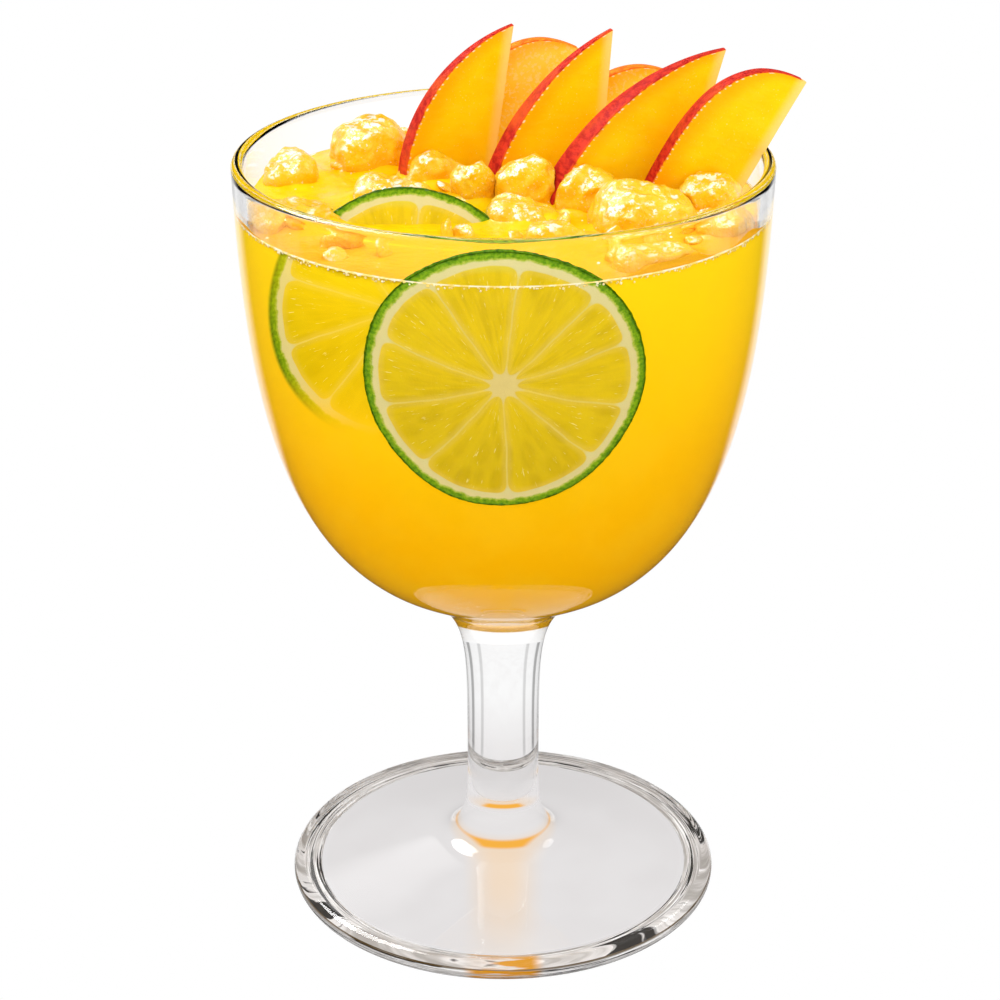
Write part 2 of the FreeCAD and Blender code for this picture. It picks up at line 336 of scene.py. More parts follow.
LIME = lime_group()


def use_lime(k, vec):
    n = k.new("ShaderNodeGroup", node_tree=LIME)
    k.link(vec, n.inputs[0])
    return n.outputs


# ------------------------------------------------------------------ materials
def make_glass(name, ior):
    m, k, b = material(name)
    b.inputs["Base Color"].default_value = (1, 1, 1, 1)
    b.inputs["Transmission Weight"].default_value = 1.0
    b.inputs["Roughness"].default_value = 0.0
    b.inputs["IOR"].default_value = ior
    b.inputs["Specular Tint"].default_value = (0.32, 0.32, 0.32, 1)
    return m


LEFT_LIME_R = 22.8
LEFT_LIME_AT = np.array((-17.4, -18.0, 125.6))
LEFT_LIME_LEAN = math.radians(22.4)
LEFT_N = np.array((0, -math.cos(LEFT_LIME_LEAN), math.sin(LEFT_LIME_LEAN)))
LEFT_U = np.array((0, math.sin(LEFT_LIME_LEAN), math.cos(LEFT_LIME_LEAN)))


def make_juice():
    m, k, b = material("drink_body")
    p = k.obj()
    x, y, z = k.split(p)
    warp = k.vec("SCALE", k.vec("SUBTRACT", k.noise(p, 0.035, 2.0, out="Color"), (0.5, 0.5, 0.5)), scale=16.0)
    _, _, zw = k.split(k.vec("ADD", p, warp))
    col = k.mix(k.ramp(zw, 78.0, 140.0), lin(253, 189, 2), lin(253, 215, 20))
    col = k.mix(k.ramp(zw, 66.0, 84.0, 0.5, 0.0), col, lin(248, 190, 20))
    cloud = k.noise(p, 0.09, 3.0, 0.55)
    col = k.mix(k.ramp(cloud, 0.4, 0.72, 0.0, 0.30), col, lin(255, 205, 30))
    # what shows through of the wheel behind
    rel = k.vec("SUBTRACT", p, tuple(LEFT_LIME_AT))
    du = k.math("MULTIPLY", k.dot(rel, (1, 0, 0)), 1.0 / LEFT_LIME_R)
    dv = k.math("MULTIPLY", k.dot(rel, tuple(LEFT_U)), 1.0 / LEFT_LIME_R)
    depth = k.dot(rel, tuple(LEFT_N))
    rot = k.xyz(du, dv, 0.0)
    out = use_lime(k, rot)
    rad = k.math("SQRT", k.math("ADD", k.math("MULTIPLY", du, du), k.math("MULTIPLY", dv, dv)))
    inside = k.ramp(rad, 1.02, 0.985)
    fade = k.math("MULTIPLY", inside, k.ramp(dv, -0.95, -0.35, 0.0, 1.0))
    fade = k.math("MULTIPLY", fade, k.ramp(depth, -1.0, 34.0, 0.96, 0.35))
    fade = k.math("MULTIPLY", fade, k.ramp(y, -14.0, -17.0))
    col = k.mix(fade, col, out[0])
    k.link(col, b.inputs["Base Color"])
    b.inputs["Roughness"].default_value = 0.6
    b.inputs["Specular IOR Level"].default_value = 0.0
    return m


def make_juice_top():
    m, k, b = material("drink_surface")
    p = k.obj()
    n1 = k.noise(p, 0.16, 3.0, 0.55)
    col = k.mix(k.ramp(n1, 0.35, 0.68), lin(253, 204, 4), lin(255, 218, 12))
    x, y, _ = k.split(p)
    # painted shade: the strip of surface seen through the front wall is darker and more orange
    front_wall_shade = k.math("ADD", k.math("SUBTRACT", 0.0, y), k.math("MULTIPLY", k.math("MULTIPLY", x, x), 0.009))
    col = k.mix(k.ramp(front_wall_shade, 26.0, 28.5), col, lin(234, 168, 26))
    k.link(col, b.inputs["Base Color"])
    b.inputs["Roughness"].default_value = 0.08
    b.inputs["Specular IOR Level"].default_value = 0.16
    h = k.noise(p, 0.9, 3.0, 0.6)
    k.link(k.bump(h, 0.5, 0.0004), b.inputs["Normal"])
    return m


def make_lime(name, wet):
    m, k, b = material(name)
    v = k.uv("disc")
    out = use_lime(k, v)
    skin = k.attr("skin")
    p = k.obj()
    pores = k.noise(p, 1.4, 3.0, 0.6)
    rind = k.mix(k.ramp(pores, 0.38, 0.62), lin(50, 96, 2), lin(106, 152, 8))
    _, _, up = k.split(p)
    dry = k.mix(k.math("MULTIPLY", k.ramp(up, 143.5, 145.0, 0.0, 0.45), out[2]), out[0], lin(214, 204, 60))
    col = k.mix(skin, dry, rind)
    k.link(col, b.inputs["Base Color"])
    b.inputs["Roughness"].default_value = 0.16
    b.inputs["Specular IOR Level"].default_value = wet * 0.4
    h = k.math("ADD", k.math("MULTIPLY", out[1], 0.6), k.math("MULTIPLY", k.noise(p, 2.2, 3.0, 0.65), 0.55))
    k.link(k.bump(h, 0.55, 0.0005), b.inputs["Normal"])
    return m


def make_fruit(name, back):
    m, k, b = material(name)
    uv = k.uv("slice")          # x: mm from the cut edge, y: mm along it
    u, v, _ = k.split(uv)
    rim = k.attr("rim")         # mm from the skin
    skin = k.attr("skin")
    p = k.obj()
    fib = k.noise(k.xyz(k.math("MULTIPLY", u, 0.18), k.math("MULTIPLY", v, 0.55), 0.0), 1.0, 4.0, 0.6)
    cloud = k.noise(p, 0.12, 2.0)
    if back:
        flesh = k.mix(k.ramp(cloud, 0.35, 0.65), lin(254, 212, 40), lin(255, 222, 80))
        speck = k.ramp(k.noise(p, 1.3, 3.0, 0.6), 0.50, 0.62, 0.0, 0.9)
        flesh = k.mix(speck, flesh, lin(255, 230, 140))
    else:
        flesh = k.mix(k.ramp(cloud, 0.3, 0.7), lin(254, 202, 2), lin(255, 213, 8))
        flesh = k.mix(k.ramp(fib, 0.45, 0.66, 0.0, 0.30), flesh, lin(255, 214, 40))
        speck = k.ramp(k.noise(p, 2.6, 2.0, 0.6), 0.665, 0.73, 0.0, 0.7)
        flesh = k.mix(speck, flesh, lin(255, 232, 120))
    flesh = k.mix(k.ramp(rim, 6.0, 0.2, 0.0, 0.62), flesh, lin(254, 156, 0))
    # painted highlight: a dashed white line along the edge by the skin
    dash_highlight = k.math("MULTIPLY", k.ramp(k.math("ABSOLUTE", k.math("SUBTRACT", rim, 0.38)), 0.22, 0.10), k.ramp(k.noise(k.xyz(0.0, k.math("MULTIPLY", v, 1.5), 0.0), 1.0, 2.0), 0.52, 0.58))
    flesh = k.mix(k.ramp(u, 2.6, 0.2, 0.0, 0.75), flesh, lin(253, 218, 130))
    red = k.noise(k.xyz(k.math("MULTIPLY", u, 0.35), k.math("MULTIPLY", v, 0.9), 3.0), 1.2, 4.0, 0.65)
    if back:
        hide = k.mix(k.ramp(red, 0.4, 0.65), lin(232, 108, 20), lin(246, 150, 30))
    else:
        hide = k.mix(k.ramp(red, 0.32, 0.66), lin(168, 20, 22), lin(214, 56, 36))
        hide = k.mix(k.ramp(k.noise(p, 0.10, 2.0), 0.5, 0.75, 0.0, 0.6), hide, lin(236, 100, 40))
    flesh = k.mix(k.ramp(k.math("ADD", rim, k.math("MULTIPLY", k.noise(p, 1.6, 2.0), 0.22)), 0.42, 0.16), flesh, lin(224, 84, 20))
    flesh = k.mix(k.math("MULTIPLY", dash_highlight, 0.75), flesh, lin(255, 238, 214))
    col = k.mix(skin, flesh, hide)
    k.link(col, b.inputs["Base Color"])
    b.inputs["Roughness"].default_value = 0.45
    b.inputs["Specular IOR Level"].default_value = 0.05
    h = k.math("ADD", k.math("MULTIPLY", k.noise(p, 1.5, 3.0, 0.6), 0.7), k.math("MULTIPLY", fib, 0.6))
    k.link(k.bump(h, 0.35, 0.0003), b.inputs["Normal"])
    return m


def make_ice():
    m, k, b = material("wet_ice")
    p = k.obj()
    nor = k.new("ShaderNodeNewGeometry").outputs["Normal"]
    top = k.dot(nor, (-0.24, -0.42, 0.875))
    veil = k.noise(p, 0.22, 3.0, 0.55)
    torn = k.noise(p, 0.62, 4.0, 0.72)
    speck = k.noise(p, 2.0, 3.0, 0.7)
    col = k.mix(k.ramp(veil, 0.36, 0.62), lin(252, 188, 10), lin(255, 206, 40))
    col = k.mix(k.ramp(torn, 0.50, 0.60, 0.0, 0.35), col, lin(255, 224, 100))
    # painted shade: sides of the lumps facing down go deeper orange
    low = k.ramp(k.dot(nor, (0.0, 0.0, 1.0)), 0.35, -0.15)
    col = k.mix(k.math("MULTIPLY", low, 0.5), col, lin(250, 176, 4))
    clear = k.math("MULTIPLY", k.ramp(k.noise(p, 0.30, 2.0), 0.46, 0.56), k.ramp(top, 0.2, 0.6))
    col = k.mix(k.math("MULTIPLY", clear, 0.5), col, lin(253, 196, 8))
    glint = k.math("MULTIPLY", k.ramp(top, 0.80, 0.93), k.ramp(torn, 0.52, 0.545))
    col = k.mix(k.math("MULTIPLY", glint, 0.85), col, lin(255, 250, 232))
    # painted sparkle: tiny white highlight specks
    col = k.mix(k.ramp(speck, 0.63, 0.69, 0.0, 0.8), col, lin(255, 248, 220))
    x, y, _ = k.split(p)
    # painted shade: the lumps seen through the front wall are darker
    front_wall_shade = k.math("ADD", k.math("SUBTRACT", 0.0, y), k.math("MULTIPLY", k.math("MULTIPLY", x, x), 0.009))
    col = k.mix(k.ramp(front_wall_shade, 28.0, 32.0, 0.0, 0.55), col, lin(216, 160, 50))
    k.link(col, b.inputs["Base Color"])
    b.inputs["Roughness"].default_value = 0.05
    b.inputs["IOR"].default_value = 1.45
    h = k.math("ADD", k.noise(p, 0.42, 3.0, 0.55), k.math("MULTIPLY", torn, 0.45))
    k.link(k.bump(h, 0.8, 0.0011), b.inputs["Normal"])
    return m


def make_bubble():
    m, k, b = material("froth")
    p = k.obj()
    n = k.noise(p, 0.8, 2.0)
    k.link(k.mix(k.ramp(n, 0.4, 0.6), lin(255, 226, 120), lin(255, 246, 214)), b.inputs["Base Color"])
    b.inputs["Roughness"].default_value = 0.08
    b.inputs["Specular IOR Level"].default_value = 0.8
    return m


GLASS, GLASS_FLAT = make_glass("clear_glass", 1.5), make_glass("clear_glass_under", 1.0)
JUICE, JUICE_TOP = make_juice(), make_juice_top()
LIME_FRONT, LIME_LEFT = make_lime("lime_front", 0.35), make_lime("lime_left", 0.5)
FRUIT, FRUIT_BACK, ICE_MAT, BUBBLE = make_fruit("fruit_slice", False), make_fruit("fruit_slice_back", True), make_ice(), make_bubble()


# ------------------------------------------------------------------ goblet
def goblet():
    edge_in, edge_top = FOOT_R - FOOT_EDGE_R, 2 * FOOT_EDGE_R
    dome = [(r, 2.3 * math.cos(math.pi / 2 * r / 35.0) ** 1.3) for r in np.linspace(0, 34.6, 26)]
    under = [(max(r, 0.0), z) for r, z in dome] + [(35.6, 0.012), (37.0, 0.0), (39.0, 0.0)]
    bead = [(edge_in + FOOT_EDGE_R * math.sin(t), FOOT_EDGE_R - FOOT_EDGE_R * math.cos(t)) for t in np.linspace(0, math.pi, 26)]
    hub = (FOOT_HUB_R + 2.4, FOOT_HUB_Z - 0.3)
    side = [(edge_in - 1.2, edge_top - 0.05), (33.0, 5.15), (24.0, 6.62), hub]
    side += [(stem_side(z), z) for z in np.linspace(FOOT_HUB_Z + 0.7, 34.0, 10)]
    side += [(stem_side(z), z) for z in np.linspace(38.0, 62.8, 8)]
    side += [(bowl_outside(z), z) for z in np.linspace(66.5, 78.0, 6)]
    side += [(bowl_outside(z), z) for z in np.linspace(84.0, 149.15, 9)]
    outer = [tuple(p) for p in cubic(side, 190)]
    top, base = side[-1], None
    inner = [(0.0, CAVITY_BASE_Z)]
    for t in np.linspace(0, 1, 23)[1:]:
        z = CAVITY_BASE_Z + (149.15 - CAVITY_BASE_Z) * t ** 2.2
        inner.append((float(bowl_inside(z)), z))
    inside = [tuple(p) for p in cubic(inner, 110)][::-1]
    # lip: arc through the two ends of the wall and its crown
    ax, az = top; bx, bz = inner[-1]
    half = (ax - bx) / 2; sag = HEIGHT - 149.15
    rad = (half * half + sag * sag) / (2 * sag)
    mx = (ax + bx) / 2; mz = HEIGHT - rad
    a0 = math.atan2(az - mz, ax - mx); a1 = math.atan2(bz - mz, bx - mx)
    if a1 < a0:
        a1 += 2 * math.pi
    lip = [(mx + rad * math.cos(t), mz + rad * math.sin(t)) for t in np.linspace(a0, a1, 30)[1:-1]]
    inside[-1] = (0.0, CAVITY_BASE_Z)
    prof = under + bead + outer + lip + inside
    verts, faces = lathe(prof, 256)
    va = np.array(verts)
    low = [1 if all(va[i][2] < 2.5 and math.hypot(va[i][0], va[i][1]) < 36.5 for i in f) else 0 for f in faces]
    ob = mesh_object("goblet", verts, faces, [GLASS, GLASS_FLAT], mat_index=low)
    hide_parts("glass"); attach(ob, "root")
    return ob


GOBLET = goblet()


def foot_gleam():
    """Streaks of light and dark held in the rounded edge of the foot."""
    m, k, b = material("foot_gleam")
    p = k.obj()
    x, y, z = k.split(p)
    turn = k.math("ARCTAN2", x, k.math("MULTIPLY", y, -1.0))
    rad = k.math("SQRT", k.math("ADD", k.math("MULTIPLY", x, x), k.math("MULTIPLY", y, y)))
    across = k.math("ADD", k.math("MULTIPLY", rad, 1.0), k.math("MULTIPLY", z, 0.9))
    n = k.noise(k.xyz(k.math("MULTIPLY", turn, 1.2), k.math("MULTIPLY", across, 1.5), 4.0), 1.0, 4.0, 0.6)
    n2 = k.noise(k.xyz(k.math("MULTIPLY", turn, 2.0), k.math("MULTIPLY", across, 2.2), 9.0), 1.0, 3.0, 0.6)
    col = k.mix(k.ramp(n, 0.40, 0.56), lin(176, 172, 168), lin(232, 230, 229))
    col = k.mix(k.ramp(n2, 0.56, 0.62, 0.0, 0.9), col, lin(255, 255, 255))
    col = k.mix(k.ramp(n, 0.545, 0.575, 0.0, 0.95), col, lin(30, 26, 22))
    col = k.mix(k.ramp(z, 2.2, 2.7, 0.0, 0.85), col, lin(96, 76, 44))
    # painted orange light of the drink, seen in the front of the foot
    amber = k.math("MULTIPLY", k.ramp(k.math("ABSOLUTE", x), 8.0, 5.0), k.ramp(y, 0.0, -10.0))
    col = k.mix(k.math("MULTIPLY", amber, k.ramp(n2, 0.46, 0.52, 0.1, 0.95)), col, lin(216, 150, 22))
    k.link(col, b.inputs["Base Color"])
    b.inputs["Roughness"].default_value = 0.8
    b.inputs["Specular IOR Level"].default_value = 0.0
    e = FOOT_R - FOOT_EDGE_R
    q = FOOT_EDGE_R - 0.12
    arc = [(e + q * math.sin(t), FOOT_EDGE_R - q * math.cos(t)) for t in np.linspace(0.0, 1.95, 22)]
    back = [(e + (q - 0.06) * math.sin(t), FOOT_EDGE_R - (q - 0.06) * math.cos(t)) for t in np.linspace(1.95, 0.0, 22)]
    flat = [(36.4, 0.14), (37.6, 0.12)]
    verts, faces = lathe(flat + arc + back + [(37.6, 0.18), (36.4, 0.18), (36.4, 0.14)], 256)
    ob = mesh_object("foot_gleam", verts, faces, m)
    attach(ob, "root")


foot_gleam()

# ------------------------------------------------------------------ fruit slices
SLICE_HUB, FULL = 7.0, 2.6
SLICES = {
    "fruit_slice_1": (1.7, 22.0, 168.7, 56.6, 18.5, 0, 9.0, 24.0, 7.9, 3.0),
    "fruit_slice_2": (20.0, 17.5, 168.9, 78.5, 24.3, 0, 9.5, 25.0, 4.25, 3.0),
    "fruit_slice_3": (40.4, 10.5, 167.0, 81.1, 28.6, 0, 9.5, 26.0, 15.1, 3.0),
    "fruit_slice_4": (54.6, 3.0, 162.9, 47.4, 17.2, FULL, 8.5, 14.0, 28.45, 0.0),
    "fruit_slice_5": (14.95, 31.0, 161.6, 47.4, 17.2, FULL, 8.5, 14.0, 28.45, 2.0),
    "fruit_slice_6": (33.5, 27.0, 157.4, 47.4, 17.2, FULL, 8.5, 14.0, 28.45, 2.0),
}


def fruit_slice(name, x, y, z, chord, wide, full, wedge, turn, lean, back):
    rho = (wide * wide + chord * chord / 4) / (2 * wide)
    mid = rho - wide
    half = math.radians(wedge) / 2
    ns, nu, nk = ((150, 34, 11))
    grid = {}
    verts, faces, uv, rim, skin = [], [], [], [], []
    seed = sum(map(ord, name))

    def width(s):
        if full:
            return wide * max(1 - abs(1 - 2 * s / chord) ** full, 0) ** (1 / full)
        return max(math.sqrt(max(rho * rho - (chord / 2 - s) ** 2, 0)) - mid, 0.0)

    svals = chord * (0.5 - 0.5 * np.cos(np.linspace(0.03, math.pi - 0.03, ns)))
    for side in (-1, 1):
        for i, s in enumerate(svals):
            w = width(s)
            for j in range(nu):
                t = j / (nu - 1)
                a = w * t
                h = math.tan(half) * (SLICE_HUB + a)
                # gentle unevenness of a knife cut
                q = Vector((a * 0.11 + seed, s * 0.07, side * 3.0))
                h -= abs(noise.noise(q)) * 0.35 * min(1.0, h)
                edge = min(1.0, (w - a) / 0.35) if w > 0.4 else 0.5
                h *= 0.93 + 0.07 * math.sqrt(max(edge, 0.0))
                grid[side, i, j] = len(verts)
                verts.append((-a, side * h, -s))
                uv.append((a, s)); rim.append(w - a); skin.append(0.0)
    for side in (-1, 1):
        for i in range(ns - 1):
            for j in range(nu - 1):
                f = (grid[side, i, j], grid[side, i, j + 1], grid[side, i + 1, j + 1], grid[side, i + 1, j])
                faces.append(f if side > 0 else f[::-1])
    # skin band along the arc, bulging a little, and the cut edge
    def band(col, bulge, is_skin):
        rows = []
        for i, s in enumerate(svals):
            a, b = np.array(verts[grid[-1, i, col]]), np.array(verts[grid[1, i, col]])
            grow = (width(min(s + 0.05, chord)) - width(max(s - 0.05, 0))) / 0.1
            out = np.array((-1.0, 0, grow)); out /= np.linalg.norm(out)
            if not is_skin:
                out = np.array((1.0, 0, 0))
            row = []
            for n in range(nk):
                t = n / (nk - 1)
                p = a + (b - a) * t + out * bulge * (1 - (2 * t - 1) ** 2) ** 0.6 * (1 if is_skin else 1)
                row.append(len(verts)); verts.append(tuple(p))
                uv.append((s * 0.0 + t * 5 if is_skin else 0.0, s)); rim.append(0.0 if is_skin else width(s)); skin.append(1.0 if is_skin else 0.0)
            rows.append(row)
        for i in range(ns - 1):
            for n in range(nk - 1):
                f = (rows[i][n], rows[i][n + 1], rows[i + 1][n + 1], rows[i + 1][n])
                faces.append(f[::-1] if is_skin else f)
        for end, flip in ((0, True), (ns - 1, False)):
            pass
        return rows

    r1 = band(nu - 1, 0.22, True)
    r0 = band(0, 0.12, False)
    for i, rev in ((0, False), (ns - 1, True)):
        loop = [grid[1, i, j] for j in range(nu)] + r1[i][::-1][1:-1] + [grid[-1, i, j] for j in range(nu - 1, -1, -1)] + r0[i][1:-1]
        faces.append(loop if rev else loop[::-1])
    ob = mesh_object(name + "_cut", verts, faces, FRUIT_BACK if name[-1] in "56" else FRUIT,
                     uvs={"slice": uv}, attrs={"rim": rim, "skin": skin})
    me = ob.data
    import bmesh
    bm = bmesh.new(); bm.from_mesh(me)
    bmesh.ops.remove_doubles(bm, verts=bm.verts, dist=1e-6)
    bmesh.ops.recalc_face_normals(bm, faces=bm.faces)
    sharp = math.radians(38)
    for e in bm.edges:
        if len(e.link_faces) == 2 and e.calc_face_angle(0) > sharp:
            e.smooth = False
    bm.to_mesh(me); bm.free()
    rot = (Matrix.Rotation(math.radians(-back), 4, "X") @ Matrix.Rotation(math.radians(lean), 4, "Y")
           @ Matrix.Rotation(math.radians(turn), 4, "Z"))
    me.transform(Matrix.Translation(Vector((x, y, z)) * MM) @ rot)
    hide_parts(name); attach(ob, "root")
    return ob


for name, args in SLICES.items():
    fruit_slice(name, *args)


# ------------------------------------------------------------------ lime wheels
def seg_relief(px, py):
    """0 on pith, rind and membranes, rising to 1 inside a segment of flesh."""
    d = np.full(px.shape, 9.0)
    for a in SEG_DEG:
        ca, sa = math.cos(math.radians(a)), math.sin(math.radians(a))
        along = px * ca + py * sa
        d = np.minimum(d, np.abs(px * sa - py * ca) + np.maximum(-along, 0) * 8)
    r = np.hypot(px, py)
    d = np.minimum(d, np.minimum((FLESH_R - r) * 0.9, (r - 0.1) * 0.9))
    return np.clip(d / 0.05, 0, 1)


def wheel_grid(taper):
    """Vertices of a wheel as (a, b, depth): front face, rind, back face."""
    nr, na = ((64, 300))
    radii = 1.0 - (1.0 - np.linspace(0, 1, nr)) ** 1.15
    pts = [(0.0, 0.0, 0.0)]
    ang = np.linspace(0, 2 * np.pi, na, endpoint=False)
    rows = []
    for r in radii[1:]:
        rows.append((r, 0.0))
    edge = 0.12
    rows[-1] = (0.985, 0.0)
    rows += [(0.997, 0.06), (1.0, 0.14), (1.0, 0.32), (1.0, 0.5), (1.0, 0.68), (1.0, 0.86), (0.997, 0.94), (0.985, 1.0)]
    rows += [(r, 1.0) for r in radii[1:-1][::-1][::2]]
    rows = [(r * (1 - taper * max(d - 0.15, 0.0) / 0.85), d) for r, d in rows]
    verts = [(0.0, 0.0, 0.0)]
    for r, d in rows:
        for a in ang:
            verts.append((r * math.cos(a), r * math.sin(a), d))
    verts.append((0.0, 0.0, 1.0))
    faces = []
    for i in range(na):
        j = (i + 1) % na
        faces.append((0, 1 + i, 1 + j))
        for q in range(len(rows) - 1):
            a, b = 1 + q * na, 1 + (q + 1) * na
            faces.append((a + i, b + i, b + j, a + j))
        a = 1 + (len(rows) - 1) * na
        faces.append((a + i, len(verts) - 1, a + j))
    return np.array(verts), faces


def lime(name, node, place, mat, seed, taper=0.0):
    v, faces = wheel_grid(taper)
    a, b, d = v[:, 0], v[:, 1], v[:, 2]
    r = np.hypot(a, b)
    th = np.arctan2(b, a)
    wob = 1 + 0.006 * np.sin(3 * th + seed) + 0.004 * np.sin(7 * th + 2 * seed)
    rel = seg_relief(a, b)
    lift = np.zeros(len(v))
    for i in range(len(v)):
        if d[i] in (0.0, 1.0):
            n = noise.noise(Vector((a[i] * 9, b[i] * 9, seed + d[i] * 5)))
            lift[i] = rel[i] * (0.10 + 0.10 * n)
        else:
            lift[i] = 0
    pore = np.array([noise.noise(Vector((a[i] * 26, b[i] * 26, d[i] * 4 + seed))) for i in range(len(v))])
    skin = np.where((d > 0.03) & (d < 0.97), 1.0, 0.0)
    rr = np.where(skin > 0, 1 + 0.006 * pore, 1.0) * wob
    pos = place(a * rr, b * rr, d, lift)
    ob = mesh_object(name, pos, faces, mat, uvs={"disc": np.stack([a, b], 1)}, attrs={"skin": skin})
    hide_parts(node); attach(ob, "root")
    return ob


FRONT_W, FRONT_H, FRONT_Z, FRONT_TILT = 23.9, 24.6, 123.5, math.radians(5.5)
LIME_T = 3.6


def place_front(a, b, d, lift):
    wall = float(bowl_inside(FRONT_Z))
    x = FRONT_W * a
    z = FRONT_Z + FRONT_H * b
    for _ in range(3):
        inset = -0.42 + (LIME_T + 0.2) * d + lift * np.where(d < 0.5, 1.0, -1.0) * 0.0 + lift * np.where(d > 0.5, -1.0, 0.0)
        rad = bowl_inside(z, 0.0) - inset
        y = -np.sqrt(np.maximum(rad ** 2 - x ** 2, 0))
        z = FRONT_Z + FRONT_H * b + (y + wall) * math.tan(FRONT_TILT)
    return np.stack([x, y, z], 1)


def place_left(a, b, d, lift):
    n, u = LEFT_N, LEFT_U
    off = (LIME_T / 2) - LIME_T * d + lift * np.where(d < 0.5, 1.0, -1.0)
    return LEFT_LIME_AT + np.outer(LEFT_LIME_R * a, (1, 0, 0)) + np.outer(LEFT_LIME_R * b, u) + np.outer(off, n)


lime("lime_wheel_bent", "lime_wheel_front", place_front, LIME_FRONT, 1.3, 0.10)
lime("lime_wheel_flat", "lime_wheel_left", place_left, LIME_LEFT, 4.1)


# ------------------------------------------------------------------ ice
def ice_piece(i):
    node = "ice_%02d" % i
    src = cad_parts[node]
    me = src.data.copy()
    ob = bpy.data.objects.new("ice_lump_%02d" % i, me)
    bpy.context.scene.collection.objects.link(ob)
    rm = ob.modifiers.new("r", "REMESH"); rm.mode = "VOXEL"; rm.voxel_size = 0.0005
    sm = ob.modifiers.new("s", "SMOOTH"); sm.factor = 0.5; sm.iterations = 16
    dg = bpy.context.evaluated_depsgraph_get()
    new = bpy.data.meshes.new_from_object(ob.evaluated_get(dg))
    ob.modifiers.clear()
    ob.data = new
    n = len(new.vertices)
    co = np.zeros(n * 3, np.float32); new.vertices.foreach_get("co", co); co = co.reshape(-1, 3) * 1000
    no = np.zeros(n * 3, np.float32); new.vertices.foreach_get("normal", no); no = no.reshape(-1, 3)
    amp = np.zeros(n)
    for q in range(n):
        p = Vector(co[q])
        big = noise.noise(p * 0.13 + Vector((i * 7.1, 0, 0)))
        mid = noise.noise(p * 0.36 + Vector((0, i * 3.3, 0)))
        ridge = 1 - abs(noise.noise(p * 0.30 + Vector((2.2 * i, 5.0, 0))))
        amp[q] = 0.9 * big + 0.30 * mid + 1.1 * (ridge - 0.85)
    new_co = co + no * amp[:, None]
    # stay inside the bowl
    rr = np.hypot(new_co[:, 0], new_co[:, 1])
    lim = bowl_inside(np.clip(new_co[:, 2], 100, LIP_Z)) - 0.25
    f = np.minimum(1.0, lim / np.maximum(rr, 1e-6))
    new_co[:, 0] *= f; new_co[:, 1] *= f
    new.vertices.foreach_set("co", (new_co * MM).astype(np.float32).ravel())
    new.materials.clear(); new.materials.append(ICE_MAT)
    new.polygons.foreach_set("use_smooth", [True] * len(new.polygons))
    new.update()
    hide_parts(node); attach(ob, "root")
    return ob


for i in range(1, 16):
    ice_piece(i)

def slush():
    """Crushed ice between the large lumps."""
    import bmesh
    bm = bmesh.new(); bmesh.ops.create_icosphere(bm, subdivisions=3, radius=1.0)
    base = np.array([v.co[:] for v in bm.verts]); tri = [tuple(v.index for v in f.verts) for f in bm.faces]
    bm.free()
    r = random.Random(11)
    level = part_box("drink")[1].z / MM
    verts, faces, put = [], [], []
    tries = 0
    while len(put) < 70 and tries < 6000:
        tries += 1
        x, y = r.uniform(-44, 44), r.uniform(-36, 38)
        size = r.uniform(1.5, 3.7)
        rad = math.hypot(x, y)
        if rad > float(bowl_inside(level)) - 1.1 * size:
            continue
        if x < -24 and -9 < y < 15:                       # the open pool
            continue
        if -34 < x < 4 and -17 < y < -6:                  # the wheel behind
            continue
        if y < -30 and abs(x) < 22:
            continue
        if x < 10 and y < -14 and r.random() < 0.55:
            continue
        if any((x - a) ** 2 + (y - b) ** 2 < (0.62 * (size + c)) ** 2 for a, b, c in put):
            continue
        put.append((x, y, size))
        turn = Matrix.Rotation(r.uniform(0, 6.3), 3, Vector((r.uniform(-1, 1), r.uniform(-1, 1), r.uniform(-1, 1))).normalized())
        sc = np.array((size * r.uniform(0.85, 1.25), size * r.uniform(0.8, 1.2), size * r.uniform(0.34, 0.55)))
        seed = Vector((r.uniform(0, 90), r.uniform(0, 90), r.uniform(0, 90)))
        z = level + r.uniform(-0.12, 0.16) * size
        m = np.array(turn)
        o = len(verts)
        for q in base:
            n = 1 + 0.30 * noise.noise(Vector(q) * 1.1 + seed) + 0.03 * noise.noise(Vector(q) * 3.2 + seed)
            v = m @ (q * sc * n)
            verts.append((x + v[0], y + v[1], z + v[2]))
        faces += [tuple(o + t for t in f) for f in tri]
    ob = mesh_object("crushed_ice", verts, faces, ICE_MAT)
    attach(ob, "root")


slush()

ICE_AT = []
for i in range(1, 16):
    lo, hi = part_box("ice_%02d" % i)
    c = (lo + hi) / 2 / MM
    s = (hi - lo) / 2 / MM
    ICE_AT.append((c.x, c.y, s.x * 0.82, s.y * 0.82))


